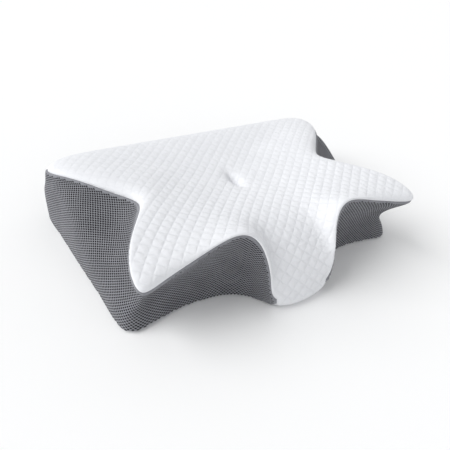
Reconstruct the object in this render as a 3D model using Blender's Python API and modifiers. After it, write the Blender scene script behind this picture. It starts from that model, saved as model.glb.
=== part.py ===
"""Butterfly-shaped contour pillow: moulded foam core, thin liner and a zipped two-fabric cover.

Units are metres in the finished objects, with +Z up and the pillow resting on Z = 0. X runs along the
straight back edge and the neck side faces -Y. The driving dimensions below are in millimetres.
"""
import math

import bmesh
import bpy
from mathutils import Matrix, Vector

MM = 0.001

# ---------------------------------------------------------------- driving dimensions (millimetres)
COVER_THICK = 1.6        # quilted knit and spacer mesh
LINER_DEPTH = 2.1        # how far the liner's outer face lies below the cover's outer face
LINER_THICK = 0.4
FOAM_DEPTH = 3.0
SEAM_GAP = 0.35          # space between two neighbouring cover panels
LINER_GAP = 0.8          # the same for the liner
EDGE_INSET = 14.0        # width of the rounded strip around the underside
SHIFT_Y = 3.9            # moves the finished pillow so that its footprint is centred

# Stations go round half the pillow, from the middle of the back to the middle of the neck side.
# Each holds a point of the star seam, a point of the ridge on the side wall and a point of the foot.
STATIONS = (
    # name            star seam          side ridge          foot
    ("back_mid",     (0, 176, 96),      (0, 181, 36),       (0, 178)),
    ("zip_end",      (200, 176, 96),    (200, 181, 36),     (200, 178)),
    ("corner_in",    (248, 175, 96),    (250, 181, 36),     (248, 178)),
    ("corner",       (284, 164, 80),    (290, 163, 52),     (286, 166)),
    ("side_rear",    (250, 98, 107),    (270, 102, 90),     (278, 106)),
    ("side_mid",     (202, 44, 96),     (266, 47, 80),      (272, 50)),
    ("notch",        (174, 12, 98),     (264, 14, 60),      (268, 16)),
    ("wing_rear",    (180, -20, 113),   (259, -20, 44),     (264, -20)),
    ("wing_heel",    (242, -108, 126),  (253, -76, 28),     (257, -76)),
    ("wing_tip",     (251, -176, 104),  (249, -132, 22),    (255, -139)),
    ("wing_toe",     (212, -157, 100),  (209, -127, 22),    (219, -137)),
    ("wing_front",   (148, -148, 118),  (160, -116, 20),    (172, -124)),
    ("arc",          (92, -144, 140),   (103, -121, 20),    (112, -128)),
    ("lobe_up",      (65, -158, 116),   (73, -136, 20),     (78, -141)),
    ("lobe_side",    (61, -184, 60),    (58, -163, 13),     (57, -156)),
    ("lobe_low",     (56, -190, 13),    (50, -179, 2),      (46, -167)),
    ("lobe_mid",     (0, -199, 9),      (0, -187, 0),       (0, -172)),
)
# How far the wall is hollowed just under the seam and half-way down, per station.
HOLLOW_UPPER = (0, 0, 0, 0, 4, 9, 10, 11, 17, 19, 8, 5, 4, 2, 2, 0, 0)
HOLLOW_LOWER = (0, 0, 0, 1, 9, 20, 27, 29, 36, 40, 26, 13, 8, 4, 3, 0, 0)
# The lobe's rolled lip is on its front face, so its height is given for the last three stations.
LOBE_LIP = {"lobe_side": 97, "lobe_low": 60, "lobe_mid": 56}
BROW_SHARE = 0.55        # how far from the cradle ring to the seam the brow ring runs
LIP_SHARE = 0.94         # how far from the dimple to the seam the rolled lip runs

# Heights of the resting surface.
CRADLE_Z = 97.0          # head cradle in the middle
SIDE_RISE = 19.0         # side zones above the cradle
BACK_RISE = 10.0         # back edge above the cradle
NECK_RISE = 8.0          # the whole neck half above the cradle
ROLL_RISE = 10.0         # neck roll in the middle
HORN_RISE = 19.0         # the two high spots where the neck roll meets the wings
WING_DROP = 9.0          # how far the wing tips droop
CRADLE_HALF = (88.0, 60.0)

DIMPLE_Y = 20.0          # centre of the dimple
DIMPLE_Z = 84.0          # control height of its lowest point
RIM_Z = 92.0
RIM_HALF = (9.0, 16.0)
BASIN_DROP = 1.5         # how far the ring round the dimple lies below the cradle
BASIN_HALF = (24.0, 32.0)

ZIP_Z = 30.0             # centre line of the zip on the back wall
TAPE_FACE_Y = 180.8      # outer face of the zip tapes
TAPE_THICK = 0.6
COIL_HALF_GAP = 0.6      # half the space between the two coils, where the slider's post runs
COIL_HEIGHT = 2.4
COIL_DEPTH = 2.0
COIL_END = 166.0         # how far each coil reaches from the middle
SLIDER_LENGTH = 11.0
SLIDER_HEIGHT = 8.4
SLIDER_PLATE = 0.7
SLIDER_X = 157.0         # slider position when the zip is closed

BACK_PANEL_END = 1       # station where the back panel meets the side panels
LOBE_CORNER = 15         # station where the star seam reaches the underside
LAST = len(STATIONS) - 1


# ---------------------------------------------------------------- scene and materials
for old in list(bpy.data.objects):
    bpy.data.objects.remove(old, do_unlink=True)

parts = bpy.data.collections.new("butterfly_pillow")
bpy.context.scene.collection.children.link(parts)


def material(name, colour, roughness, metallic=0.0):
    made = bpy.data.materials.new(name)
    made.use_nodes = True
    shader = made.node_tree.nodes["Principled BSDF"]
    shader.inputs["Base Color"].default_value = (*colour, 1.0)
    shader.inputs["Roughness"].default_value = roughness
    shader.inputs["Metallic"].default_value = metallic
    return made


WHITE_KNIT = (0.86, 0.87, 0.88)
GREY_MESH = (0.16, 0.16, 0.18)
DARK_NYLON = (0.08, 0.08, 0.09)


# ---------------------------------------------------------------- the outer form
def outward(index):
    """Plan direction pointing away from the pillow at a station, from its neighbours on the foot."""
    def foot(i):
        if i < 0:
            x, y = STATIONS[-i][3]
            return Vector((-x, y))
        if i > LAST:
            x, y = STATIONS[2 * LAST - i][3]
            return Vector((-x, y))
        return Vector(STATIONS[i][3])
    along = foot(index + 1) - foot(index - 1)
    return Vector((-along.y, along.x, 0.0)).normalized()


def ease(value, start, end):
    """A smooth step from 0 at `start` to 1 at `end`."""
    t = min(max((value - start) / (end - start), 0.0), 1.0)
    return t * t * (3.0 - 2.0 * t)


def top_height(x, y):
    """Height of the resting surface above the floor."""
    x = abs(x)
    side = ease(x, 60, 180)
    back = ease(y, 60, 160)
    neck = ease(-y, 0, 110)
    roll = math.exp(-((y + 128) / 42) ** 2) * (1.0 - side)
    horn = math.exp(-((x - 95) / 34) ** 2 - ((y + 140) / 40) ** 2)
    droop = ease(x - y, 300, 400) * ease(-y, 0, 60)
    return (CRADLE_Z + SIDE_RISE * side * (1.0 - back) + BACK_RISE * back + NECK_RISE * neck
            + ROLL_RISE * roll + HORN_RISE * horn - WING_DROP * droop)


def oval(index, half):
    """Point on an oval round the dimple, the stations spread evenly along it."""
    angle = math.pi * (0.5 - index / LAST)
    return Vector((half[0] * math.cos(angle), DIMPLE_Y + half[1] * math.sin(angle), 0.0))


def column(index):
    """The points of one station, from the dimple's rim down the wall to the underside."""
    name, seam, ridge, foot = STATIONS[index]
    seam = Vector(seam)
    ridge = Vector(ridge)
    foot = Vector((foot[0], foot[1], 0.0))
    out = outward(index)
    rim = oval(index, RIM_HALF)
    rim.z = RIM_Z
    basin = oval(index, BASIN_HALF)
    basin.z = top_height(basin.x, basin.y) - BASIN_DROP
    cradle = oval(index, CRADLE_HALF)
    cradle.z = top_height(cradle.x, cradle.y)
    brow = cradle.lerp(seam, BROW_SHARE)
    brow.z = top_height(brow.x, brow.y)
    lip = Vector((0.0, DIMPLE_Y, 0.0)).lerp(seam, LIP_SHARE)
    lip.z = LOBE_LIP.get(name, top_height(lip.x, lip.y))
    upper = seam.lerp(ridge, 0.22) - out * HOLLOW_UPPER[index]
    lower = seam.lerp(ridge, 0.62) - out * HOLLOW_LOWER[index]
    if index <= BACK_PANEL_END + 1:
        wall = Vector((ridge.x, ridge.y, ZIP_Z - 6.0))
    elif index >= LOBE_CORNER:
        wall = ridge.lerp(foot, 0.5)
        wall.z = 0.0
    else:
        wall = ridge.lerp(foot, 0.6)
        wall.z = min(ridge.z * 0.5, 11.0)
    base = foot - out * EDGE_INSET
    if index in (0, LAST):
        base = foot + Vector((0.0, -EDGE_INSET if index == 0 else EDGE_INSET, 0.0))
    return [rim, basin, cradle, brow, lip, seam, upper, lower, ridge, wall, foot, base]


RINGS = ("rim", "basin", "cradle", "brow", "lip", "seam", "upper", "lower", "ridge", "wall", "foot", "base")
PANELS = ("top", "back", "side", "bottom", "zip")


def panel_of(row, index):
    """Which cover panel the cage face below ring `row`, between stations index and index + 1, belongs to."""
    if row < RINGS.index("seam") or (index >= LOBE_CORNER and row < RINGS.index("ridge")):
        return "top"
    if row >= RINGS.index("foot") or index >= LOBE_CORNER:
        return "bottom"
    if index < BACK_PANEL_END:
        if RINGS[row] == "ridge":
            return "zip"
        return "bottom" if RINGS[row] == "wall" else "back"
    return "side"


def outer_form():
    """Half a coarse cage, mirrored and subdivided, with one material index per panel.

    It is cut into triangles once, so that every layer below it bends along the same lines.
    """
    cage = bmesh.new()
    columns = [[cage.verts.new(p * MM) for p in column(i)] for i in range(LAST + 1)]
    top = cage.verts.new(Vector((0.0, DIMPLE_Y, DIMPLE_Z)) * MM)
    bottom = cage.verts.new(Vector((0.0, 10.0, 0.0)) * MM)
    for i in range(LAST):
        one = columns[i]
        two = columns[i + 1]
        cage.faces.new((top, one[0], two[0])).material_index = PANELS.index("top")
        for row in range(len(RINGS) - 1):
            face = cage.faces.new((one[row], one[row + 1], two[row + 1], two[row]))
            face.material_index = PANELS.index(panel_of(row, i))
        cage.faces.new((one[-1], bottom, two[-1])).material_index = PANELS.index("bottom")
    mesh = bpy.data.meshes.new("outer_form")
    cage.to_mesh(mesh)
    cage.free()
    for _ in PANELS:
        mesh.materials.append(None)
    form = bpy.data.objects.new("outer_form", mesh)
    parts.objects.link(form)
    mirror = form.modifiers.new("mirror", "MIRROR")
    mirror.use_axis = (True, False, False)
    mirror.use_clip = True
    mirror.merge_threshold = 0.0001
    smooth = form.modifiers.new("smooth", "SUBSURF")
    smooth.levels = 1
    smooth.render_levels = 1
    smooth.use_limit_surface = True
    shaped = form.evaluated_get(bpy.context.evaluated_depsgraph_get())
    result = bpy.data.meshes.new_from_object(shaped)
    bpy.data.objects.remove(form, do_unlink=True)
    split = bmesh.new()
    split.from_mesh(result)
    bmesh.ops.triangulate(split, faces=split.faces)
    bmesh.ops.recalc_face_normals(split, faces=split.faces)
    split.to_mesh(result)
    split.free()
    return result


FORM = outer_form()


def finish(name, mesh, look, smooth=True):
    """Give a mesh its name, material and shading, and put it in the pillow's collection."""
    mesh.name = name
    mesh.materials.clear()
    mesh.materials.append(look)
    for face in mesh.polygons:
        face.use_smooth = smooth
        face.material_index = 0
    made = bpy.data.objects.new(name, mesh)
    parts.objects.link(made)
    return made


def layer(name, look, wanted, depth, thick, gap=SEAM_GAP):
    """Cut a panel out of the outer form, `depth` below its face, and give it `thick` of material.

    `wanted` picks faces by panel name and centre. With no thickness the layer is the whole closed block.
    """
    work = bmesh.new()
    work.from_mesh(FORM)
    bmesh.ops.recalc_face_normals(work, faces=work.faces)
    work.normal_update()
    inward = {v: -v.normal.copy() for v in work.verts}
    number = {v: i for i, v in enumerate(work.verts)}
    for v in work.verts:
        v.co += inward[v] * depth * MM
    keep = {f for f in work.faces if wanted(PANELS[f.material_index], f.calc_center_median())}
    shift = {}
    for v in work.verts:
        mine = [f.calc_center_median() for f in v.link_faces if f in keep]
        others = [f.calc_center_median() for f in v.link_faces if f not in keep]
        if not mine or not others:
            continue
        away = sum(mine, Vector()) / len(mine) - sum(others, Vector()) / len(others)
        away -= inward[v] * away.dot(inward[v])
        edge = [e for e in v.link_edges if len({f in keep for f in e.link_faces}) == 2]
        ends = [e.other_vert(v).co for e in edge]
        if len(ends) == 2:
            along = (ends[1] - ends[0]).normalized()
            away -= along * away.dot(along)
        shift[v] = away.normalized() * gap * 0.5 * MM
    for v, move in shift.items():
        v.co += move
    bmesh.ops.delete(work, geom=[f for f in work.faces if f not in keep], context="FACES")
    if thick:
        outer = list(work.verts)
        rim_edges = [e for e in work.edges if e.is_boundary]
        copied = bmesh.ops.duplicate(work, geom=outer + list(work.edges) + list(work.faces))
        twin = copied["vert_map"]
        for v in outer:
            twin[v].co += inward[v] * thick * MM
        for e in rim_edges:
            one, two = sorted(e.verts, key=number.get)
            work.faces.new((one, two, twin[two]))
            work.faces.new((one, twin[two], twin[one]))
        bmesh.ops.recalc_face_normals(work, faces=work.faces)
    mesh = bpy.data.meshes.new(name)
    work.to_mesh(mesh)
    work.free()
    return finish(name, mesh, look)


def in_zone(*names, side=0):
    """A test for `layer`: faces of the named panels, on one side of the middle when side is -1 or 1."""
    return lambda panel, centre: panel in names and (side == 0 or centre.x * side > 0)


knit = material("quilted_knit", WHITE_KNIT, 0.85)
mesh_fabric = material("spacer_mesh", GREY_MESH, 0.9)
liner_fabric = material("liner_jersey", (0.80, 0.80, 0.78), 0.9)
foam = material("memory_foam", (0.93, 0.92, 0.85), 0.95)

layer("foam_core", foam, lambda panel, centre: True, FOAM_DEPTH, 0.0)
layer("liner_top", liner_fabric, in_zone("top"), LINER_DEPTH, LINER_THICK, LINER_GAP)
layer("liner_base", liner_fabric, in_zone("back", "side", "bottom", "zip"), LINER_DEPTH, LINER_THICK, LINER_GAP)
layer("cover_top_panel", knit, in_zone("top"), 0.0, COVER_THICK)
layer("cover_side_panel_left", mesh_fabric, in_zone("side", side=-1), 0.0, COVER_THICK)
layer("cover_side_panel_right", mesh_fabric, in_zone("side", side=1), 0.0, COVER_THICK)
layer("cover_back_panel", mesh_fabric, in_zone("back"), 0.0, COVER_THICK)
layer("cover_bottom_panel", mesh_fabric, in_zone("bottom"), 0.0, COVER_THICK)


# ---------------------------------------------------------------- the zip
def block(name, low, high, look, bevel=0.0, segments=2):
    """A box between two corners in millimetres, with its edges rounded."""
    low = Vector(low)
    high = Vector(high)
    work = bmesh.new()
    bmesh.ops.create_cube(work, size=1.0)
    size = high - low
    for v in work.verts:
        v.co = Vector((v.co.x * size.x, v.co.y * size.y, v.co.z * size.z)) * MM
    if bevel:
        bmesh.ops.bevel(work, geom=list(work.edges), offset=bevel * MM, segments=segments, affect="EDGES")
    mesh = bpy.data.meshes.new(name)
    work.to_mesh(mesh)
    work.free()
    made = finish(name, mesh, look, smooth=False)
    made.location = (low + high) * 0.5 * MM
    return made


def slot_bounds():
    """Half length, lowest and highest Z of the slot left for the zip in the back wall."""
    spots = [FORM.vertices[i].co / MM for f in FORM.polygons
             if PANELS[f.material_index] == "zip" for i in f.vertices]
    middle = [p.z for p in spots if abs(p.x) < 1.0]
    return max(p.x for p in spots), min(middle), max(middle)


tape_look = material("zip_tape", GREY_MESH, 0.8)
coil_look = material("zip_nylon", DARK_NYLON, 0.45)
metal = material("zip_metal", (0.45, 0.45, 0.47), 0.35, 1.0)

SLOT_HALF, SLOT_LOW, SLOT_HIGH = slot_bounds()
tape_back = TAPE_FACE_Y - TAPE_THICK
for which, start, end in (("upper", ZIP_Z + COIL_HALF_GAP, SLOT_HIGH - SEAM_GAP),
                          ("lower", SLOT_LOW + SEAM_GAP, ZIP_Z - COIL_HALF_GAP)):
    block("zip_tape_" + which, (-SLOT_HALF + SEAM_GAP, tape_back, start),
          (SLOT_HALF - SEAM_GAP, TAPE_FACE_Y, end), tape_look)

coil_front = TAPE_FACE_Y + 0.15 + COIL_DEPTH
for which, sign in (("upper", 1), ("lower", -1)):
    near = ZIP_Z + sign * COIL_HALF_GAP
    far = near + sign * COIL_HEIGHT
    block("zip_coil_" + which, (-COIL_END, TAPE_FACE_Y + 0.15, min(near, far)),
          (COIL_END, coil_front, max(near, far)), coil_look, bevel=0.7)


def rod(name, centre, radius, half_long, look):
    """A round bar along Z, its middle at `centre` in millimetres."""
    work = bmesh.new()
    bmesh.ops.create_cone(work, cap_ends=True, segments=24, radius1=radius * MM, radius2=radius * MM,
                          depth=2 * half_long * MM)
    mesh = bpy.data.meshes.new(name)
    work.to_mesh(mesh)
    work.free()
    made = finish(name, mesh, look, smooth=False)
    made.location = Vector(centre) * MM
    return made


def joined(name, boxes, look, bevel, bar=None):
    """Unite overlapping boxes, and a round bar if given, into one closed body, then round its edges."""
    pieces = [block(f"{name}_{number}", low, high, look) for number, (low, high) in enumerate(boxes)]
    if bar:
        pieces.append(rod(f"{name}_bar", *bar, look))
    base = None
    for piece in pieces:
        piece.data.transform(Matrix.Translation(piece.location))
        piece.location = (0.0, 0.0, 0.0)
        if base is None:
            base = piece
            continue
        union = base.modifiers.new("union", "BOOLEAN")
        union.operation = "UNION"
        union.solver = "EXACT"
        union.object = piece
        bpy.context.view_layer.update()
        shaped = base.evaluated_get(bpy.context.evaluated_depsgraph_get())
        mesh = bpy.data.meshes.new_from_object(shaped)
        base.modifiers.clear()
        base.data = mesh
        bpy.data.objects.remove(piece, do_unlink=True)
    base.name = name
    base.data.name = name
    if bevel:
        rounded = base.modifiers.new("rounded", "BEVEL")
        rounded.width = bevel * MM
        rounded.segments = 2
        rounded.limit_method = "ANGLE"
        rounded.angle_limit = math.radians(40)
    return base


outer_low = coil_front + 0.35
outer_high = outer_low + SLIDER_PLATE
inner_high = tape_back - 0.2
inner_low = inner_high - SLIDER_PLATE
half_long = SLIDER_LENGTH / 2
half_tall = SLIDER_HEIGHT / 2
arch_gap = 1.6
arch_thick = 0.9
post_half = 0.4
joined("zip_slider", (
    ((SLIDER_X - half_long, outer_low, ZIP_Z - half_tall), (SLIDER_X + half_long, outer_high, ZIP_Z + half_tall)),
    ((SLIDER_X - half_long, inner_low, ZIP_Z - half_tall), (SLIDER_X + half_long, inner_high, ZIP_Z + half_tall)),
    ((SLIDER_X + 1.0, inner_low + 0.2, ZIP_Z - post_half), (SLIDER_X + 4.5, outer_high - 0.2, ZIP_Z + post_half)),
    ((SLIDER_X - 3.6, outer_low + 0.2, ZIP_Z - 1.1), (SLIDER_X - 2.5, outer_high + arch_gap + arch_thick, ZIP_Z + 1.1)),
    ((SLIDER_X + 2.5, outer_low + 0.2, ZIP_Z - 1.1), (SLIDER_X + 3.6, outer_high + arch_gap + arch_thick, ZIP_Z + 1.1)),
    ((SLIDER_X - 3.6, outer_high + arch_gap, ZIP_Z - 1.1),
     (SLIDER_X + 3.6, outer_high + arch_gap + arch_thick, ZIP_Z + 1.1)),
), metal, 0.15)

# The pull tab lies along the zip with its eye under the slider's arch, and swings outwards about Z.
HINGE_X = SLIDER_X + 1.6
HINGE_Y = outer_high + arch_gap / 2
TAB_HALF = 0.45
BAR_RADIUS = 0.6
joined("zip_pull_tab", (
    ((HINGE_X - 7.5, HINGE_Y - TAB_HALF, ZIP_Z + 1.6), (HINGE_X, HINGE_Y + TAB_HALF, ZIP_Z + 3.0)),
    ((HINGE_X - 7.5, HINGE_Y - TAB_HALF, ZIP_Z - 3.0), (HINGE_X, HINGE_Y + TAB_HALF, ZIP_Z - 1.6)),
    ((HINGE_X - 30.0, HINGE_Y - TAB_HALF, ZIP_Z - 3.0), (HINGE_X - 6.5, HINGE_Y + TAB_HALF, ZIP_Z + 3.0)),
), metal, 0.15, bar=((HINGE_X, HINGE_Y, ZIP_Z), BAR_RADIUS, 3.0))
tab = bpy.data.objects["zip_pull_tab"]
hinge = Vector((HINGE_X, HINGE_Y, ZIP_Z)) * MM
tab.data.transform(Matrix.Translation(-hinge))
tab.location = hinge

stop_low = TAPE_FACE_Y + 0.15
block("zip_top_stop", (COIL_END + 0.3, stop_low, ZIP_Z - 3.2), (COIL_END + 3.0, coil_front + 0.2, ZIP_Z + 3.2),
      metal, bevel=0.3)
block("zip_bottom_stop", (-COIL_END - 3.0, stop_low, ZIP_Z - 3.2), (-COIL_END - 0.3, coil_front + 0.2, ZIP_Z + 3.2),
      metal, bevel=0.3)

# ---------------------------------------------------------------- care label
LABEL_X = -173.0
LABEL_SIZE = (34.0, 0.6, 26.0)
label = block("care_label", (LABEL_X, 0.0, -LABEL_SIZE[2] / 2), (LABEL_X + LABEL_SIZE[0], LABEL_SIZE[1],
              LABEL_SIZE[2] / 2), material("label_satin", (0.85, 0.85, 0.84), 0.5))
wall_slope = math.atan2(5.0, 62.0)
label.location = Vector((LABEL_X + LABEL_SIZE[0] / 2, 181.2, 68.0)) * MM
label.rotation_euler = (wall_slope, 0.0, 0.0)

# ---------------------------------------------------------------- centring
# The origin is the middle of the footprint of the whole pillow, its zip pull included.
for made in parts.objects:
    made.location.y += SHIFT_Y * MM
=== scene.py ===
"""Looks of the butterfly contour pillow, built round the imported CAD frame.

The pillow's outer form is a coarse half cage, mirrored and subdivided. Each cover panel is flattened into the
shape it is cut to, filled there with its own fabric structure (quilted diamonds or rows of open mesh holes),
and laid back on the form. The cage is in millimetres, as in part.py; all other lengths are in metres.
"""
import math

import bmesh
import bpy
import numpy as np
from mathutils import Matrix, Vector
from mathutils.bvhtree import BVHTree
from mathutils.geometry import delaunay_2d_cdt
from mathutils.kdtree import KDTree


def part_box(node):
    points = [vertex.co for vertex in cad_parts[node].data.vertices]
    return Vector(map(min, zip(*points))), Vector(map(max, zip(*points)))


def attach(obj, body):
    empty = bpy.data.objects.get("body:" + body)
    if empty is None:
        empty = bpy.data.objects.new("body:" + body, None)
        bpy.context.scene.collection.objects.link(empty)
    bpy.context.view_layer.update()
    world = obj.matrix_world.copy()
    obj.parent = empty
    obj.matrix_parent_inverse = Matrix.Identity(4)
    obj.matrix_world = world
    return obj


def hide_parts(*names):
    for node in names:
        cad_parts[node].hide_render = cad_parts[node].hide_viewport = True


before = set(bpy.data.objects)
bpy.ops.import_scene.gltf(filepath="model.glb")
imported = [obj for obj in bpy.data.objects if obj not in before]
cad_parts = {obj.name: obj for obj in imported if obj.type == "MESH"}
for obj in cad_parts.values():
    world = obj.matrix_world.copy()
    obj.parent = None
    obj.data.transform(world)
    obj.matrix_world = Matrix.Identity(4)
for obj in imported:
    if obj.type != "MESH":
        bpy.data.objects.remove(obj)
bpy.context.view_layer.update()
MM = 0.001

# ------------------------------------------------------------------ the pillow's form (millimetres)
# Stations go round half the pillow, from the middle of the back to the middle of the neck side.
# Each holds a point of the star seam, a point of the ridge on the side wall and a point of the foot.
STATIONS = (
    ("back_mid",     (0, 176, 96),      (0, 181, 36),       (0, 178)),
    ("zip_end",      (200, 176, 96),    (200, 181, 36),     (200, 178)),
    ("corner_in",    (248, 175, 96),    (250, 181, 36),     (248, 178)),
    ("corner",       (284, 164, 80),    (290, 163, 52),     (286, 166)),
    ("side_rear",    (250, 98, 107),    (270, 102, 90),     (278, 106)),
    ("side_mid",     (202, 44, 96),     (266, 47, 80),      (272, 50)),
    ("notch",        (174, 12, 98),     (264, 14, 60),      (268, 16)),
    ("wing_rear",    (180, -20, 113),   (259, -20, 44),     (264, -20)),
    ("wing_heel",    (242, -108, 126),  (253, -76, 28),     (257, -76)),
    ("wing_tip",     (251, -176, 104),  (249, -132, 22),    (255, -139)),
    ("wing_toe",     (212, -157, 100),  (209, -127, 22),    (219, -137)),
    ("wing_front",   (148, -148, 118),  (160, -116, 20),    (172, -124)),
    ("arc",          (92, -144, 140),   (103, -121, 20),    (112, -128)),
    ("lobe_up",      (65, -158, 116),   (73, -136, 20),     (78, -141)),
    ("lobe_side",    (61, -184, 60),    (58, -163, 13),     (57, -156)),
    ("lobe_low",     (56, -190, 13),    (50, -179, 2),      (46, -167)),
    ("lobe_mid",     (0, -199, 9),      (0, -187, 0),       (0, -172)),
)
HOLLOW_UPPER = (0, 0, 0, 0, 4, 9, 10, 11, 17, 19, 8, 5, 4, 2, 2, 0, 0)
HOLLOW_LOWER = (0, 0, 0, 1, 9, 20, 27, 29, 36, 40, 26, 13, 8, 4, 3, 0, 0)
LOBE_LIP = {"lobe_side": 97, "lobe_low": 60, "lobe_mid": 56}
RINGS = ("rim", "basin", "cradle", "brow", "lip", "seam", "upper", "lower", "ridge", "wall", "foot", "base")
PANELS = ("top", "back", "side", "bottom", "zip")
BACK_PANEL_END = 1
LOBE_CORNER = 15
LAST = len(STATIONS) - 1
DIMPLE_Y = 20.0
DIMPLE_Z = 84.0
ZIP_Z = 30.0

# ------------------------------------------------------------------ fabric structure
QUILT_CELL = 0.0140      # spacing of the quilting lines, which run at 45 degrees to the back edge
QUILT_STEPS = 8          # mesh steps across one diamond
QUILT_BUNCH = 0.62       # how far those steps crowd towards the sewn lines
PUFF = 0.0010            # height of the padding between the lines
PUFF_LIMIT = 0.0024      # the most that the simulated padding may rise
PUFF_SUNK = 0.35         # share of that height by which the sewn lines sink
SEWN_EDGE = 0.0060       # the padding fades out this far from the seam
BACK_SLACK = 0.65        # the knit is stretched tighter towards the back, where it puffs up less
HOLE_PITCH = 0.0056      # spacing of the mesh holes along one row
ROW_PITCH = 0.00225      # spacing of the rows, each shifted by half a pitch
HOLE_SIZE = (0.00182, 0.00127)  # half width along a row, half height across the rows
HOLE_DEPTH = 0.0014
HOLE_FLOOR = 0.8         # width of a hole's floor as a share of its mouth
PLAIN_EDGE = 0.0034      # no holes nearer than this to a seam
WEB_STEP = 0.006         # spacing of the mesh points where there are no holes
HOLE_CLEARANCE = 0.004   # those points keep this far from a hole's middle
HEM_HEIGHT = 0.0008      # the folded seam allowance under a mesh panel's edge
HEM_MIDDLE = 0.0030
HEM_WIDTH = 0.0018
RESTING_FACE = 0.0015    # the underside has no open holes below this height, where it rests on something
SIM_SCALE = 20.0         # the quilt is simulated at this scale, where cloth settings are stable
SIM_SLACK = 0.022        # how much larger the knit is cut than what it covers
SIM_PRESSURE = 3.0       # push of the wadding
SIM_FRAMES = 16          # frames until the padding has settled
SEAM_ROLL = 0.0016       # how deep both panels turn in at a seam
SEAM_ROLL_WIDTH = 0.0022
SHELL = 0.0015           # thickness of a cover panel
DIMPLE_SPREAD = (0.0068, 0.0190)  # half width and half length of the pulled-in fold
DIMPLE_FORWARD = 0.006   # the fold's middle lies this far in front of the tuft
DIMPLE_CREASE = 0.0016   # depth of the creases round it
CREASE_REACH = (0.030, 0.040)
CREASES = 7
DIMPLE_EXTRA = 0.0090    # how much deeper the tuft pulls the fabric in than the CAD form


def outward(index):
    """Plan direction pointing away from the pillow at a station, from its neighbours on the foot."""
    def foot(i):
        if i < 0:
            x, y = STATIONS[-i][3]
            return Vector((-x, y))
        if i > LAST:
            x, y = STATIONS[2 * LAST - i][3]
            return Vector((-x, y))
        return Vector(STATIONS[i][3])
    along = foot(index + 1) - foot(index - 1)
    return Vector((-along.y, along.x, 0.0)).normalized()


def ease(value, start, end):
    """A smooth step from 0 at `start` to 1 at `end`."""
    t = min(max((value - start) / (end - start), 0.0), 1.0)
    return t * t * (3.0 - 2.0 * t)


def top_height(x, y):
    """Height of the resting surface above the floor, in millimetres."""
    x = abs(x)
    side = ease(x, 60, 180)
    back = ease(y, 60, 160)
    neck = ease(-y, 0, 110)
    roll = math.exp(-((y + 128) / 42) ** 2) * (1.0 - side)
    horn = math.exp(-((x - 95) / 34) ** 2 - ((y + 140) / 40) ** 2)
    droop = ease(x - y, 300, 400) * ease(-y, 0, 60)
    return 97 + 19 * side * (1.0 - back) + 10 * back + 8 * neck + 10 * roll + 19 * horn - 9 * droop


def oval(index, half):
    """Point on an oval round the dimple, the stations spread evenly along it."""
    angle = math.pi * (0.5 - index / LAST)
    return Vector((half[0] * math.cos(angle), DIMPLE_Y + half[1] * math.sin(angle), 0.0))


def column(index):
    """The points of one station, from the dimple's rim down the wall to the underside."""
    name, seam, ridge, foot = STATIONS[index]
    seam = Vector(seam)
    ridge = Vector(ridge)
    foot = Vector((foot[0], foot[1], 0.0))
    out = outward(index)
    rim = oval(index, (9.0, 16.0))
    rim.z = 92.0
    basin = oval(index, (24.0, 32.0))
    basin.z = top_height(basin.x, basin.y) - 1.5
    cradle = oval(index, (88.0, 60.0))
    cradle.z = top_height(cradle.x, cradle.y)
    brow = cradle.lerp(seam, 0.55)
    brow.z = top_height(brow.x, brow.y)
    lip = Vector((0.0, DIMPLE_Y, 0.0)).lerp(seam, 0.94)
    lip.z = LOBE_LIP.get(name, top_height(lip.x, lip.y))
    upper = seam.lerp(ridge, 0.22) - out * HOLLOW_UPPER[index]
    lower = seam.lerp(ridge, 0.62) - out * HOLLOW_LOWER[index]
    if index <= BACK_PANEL_END + 1:
        wall = Vector((ridge.x, ridge.y, ZIP_Z - 6.0))
    elif index >= LOBE_CORNER:
        wall = ridge.lerp(foot, 0.5)
        wall.z = 0.0
    else:
        wall = ridge.lerp(foot, 0.6)
        wall.z = min(ridge.z * 0.5, 11.0)
    base = foot - out * 14.0
    if index in (0, LAST):
        base = foot + Vector((0.0, -14.0 if index == 0 else 14.0, 0.0))
    return [rim, basin, cradle, brow, lip, seam, upper, lower, ridge, wall, foot, base]


def panel_of(row, index):
    """Which panel the cage face below ring `row`, between stations index and index + 1, belongs to."""
    if row < RINGS.index("seam") or (index >= LOBE_CORNER and row < RINGS.index("ridge")):
        return "top"
    if row >= RINGS.index("foot") or index >= LOBE_CORNER:
        return "bottom"
    if index < BACK_PANEL_END:
        if RINGS[row] == "ridge":
            return "zip"
        return "bottom" if RINGS[row] == "wall" else "back"
    return "side"


def evaluated(obj):
    """The object's mesh with its modifiers applied."""
    bpy.context.view_layer.update()
    return bpy.data.meshes.new_from_object(obj.evaluated_get(bpy.context.evaluated_depsgraph_get()))


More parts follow.
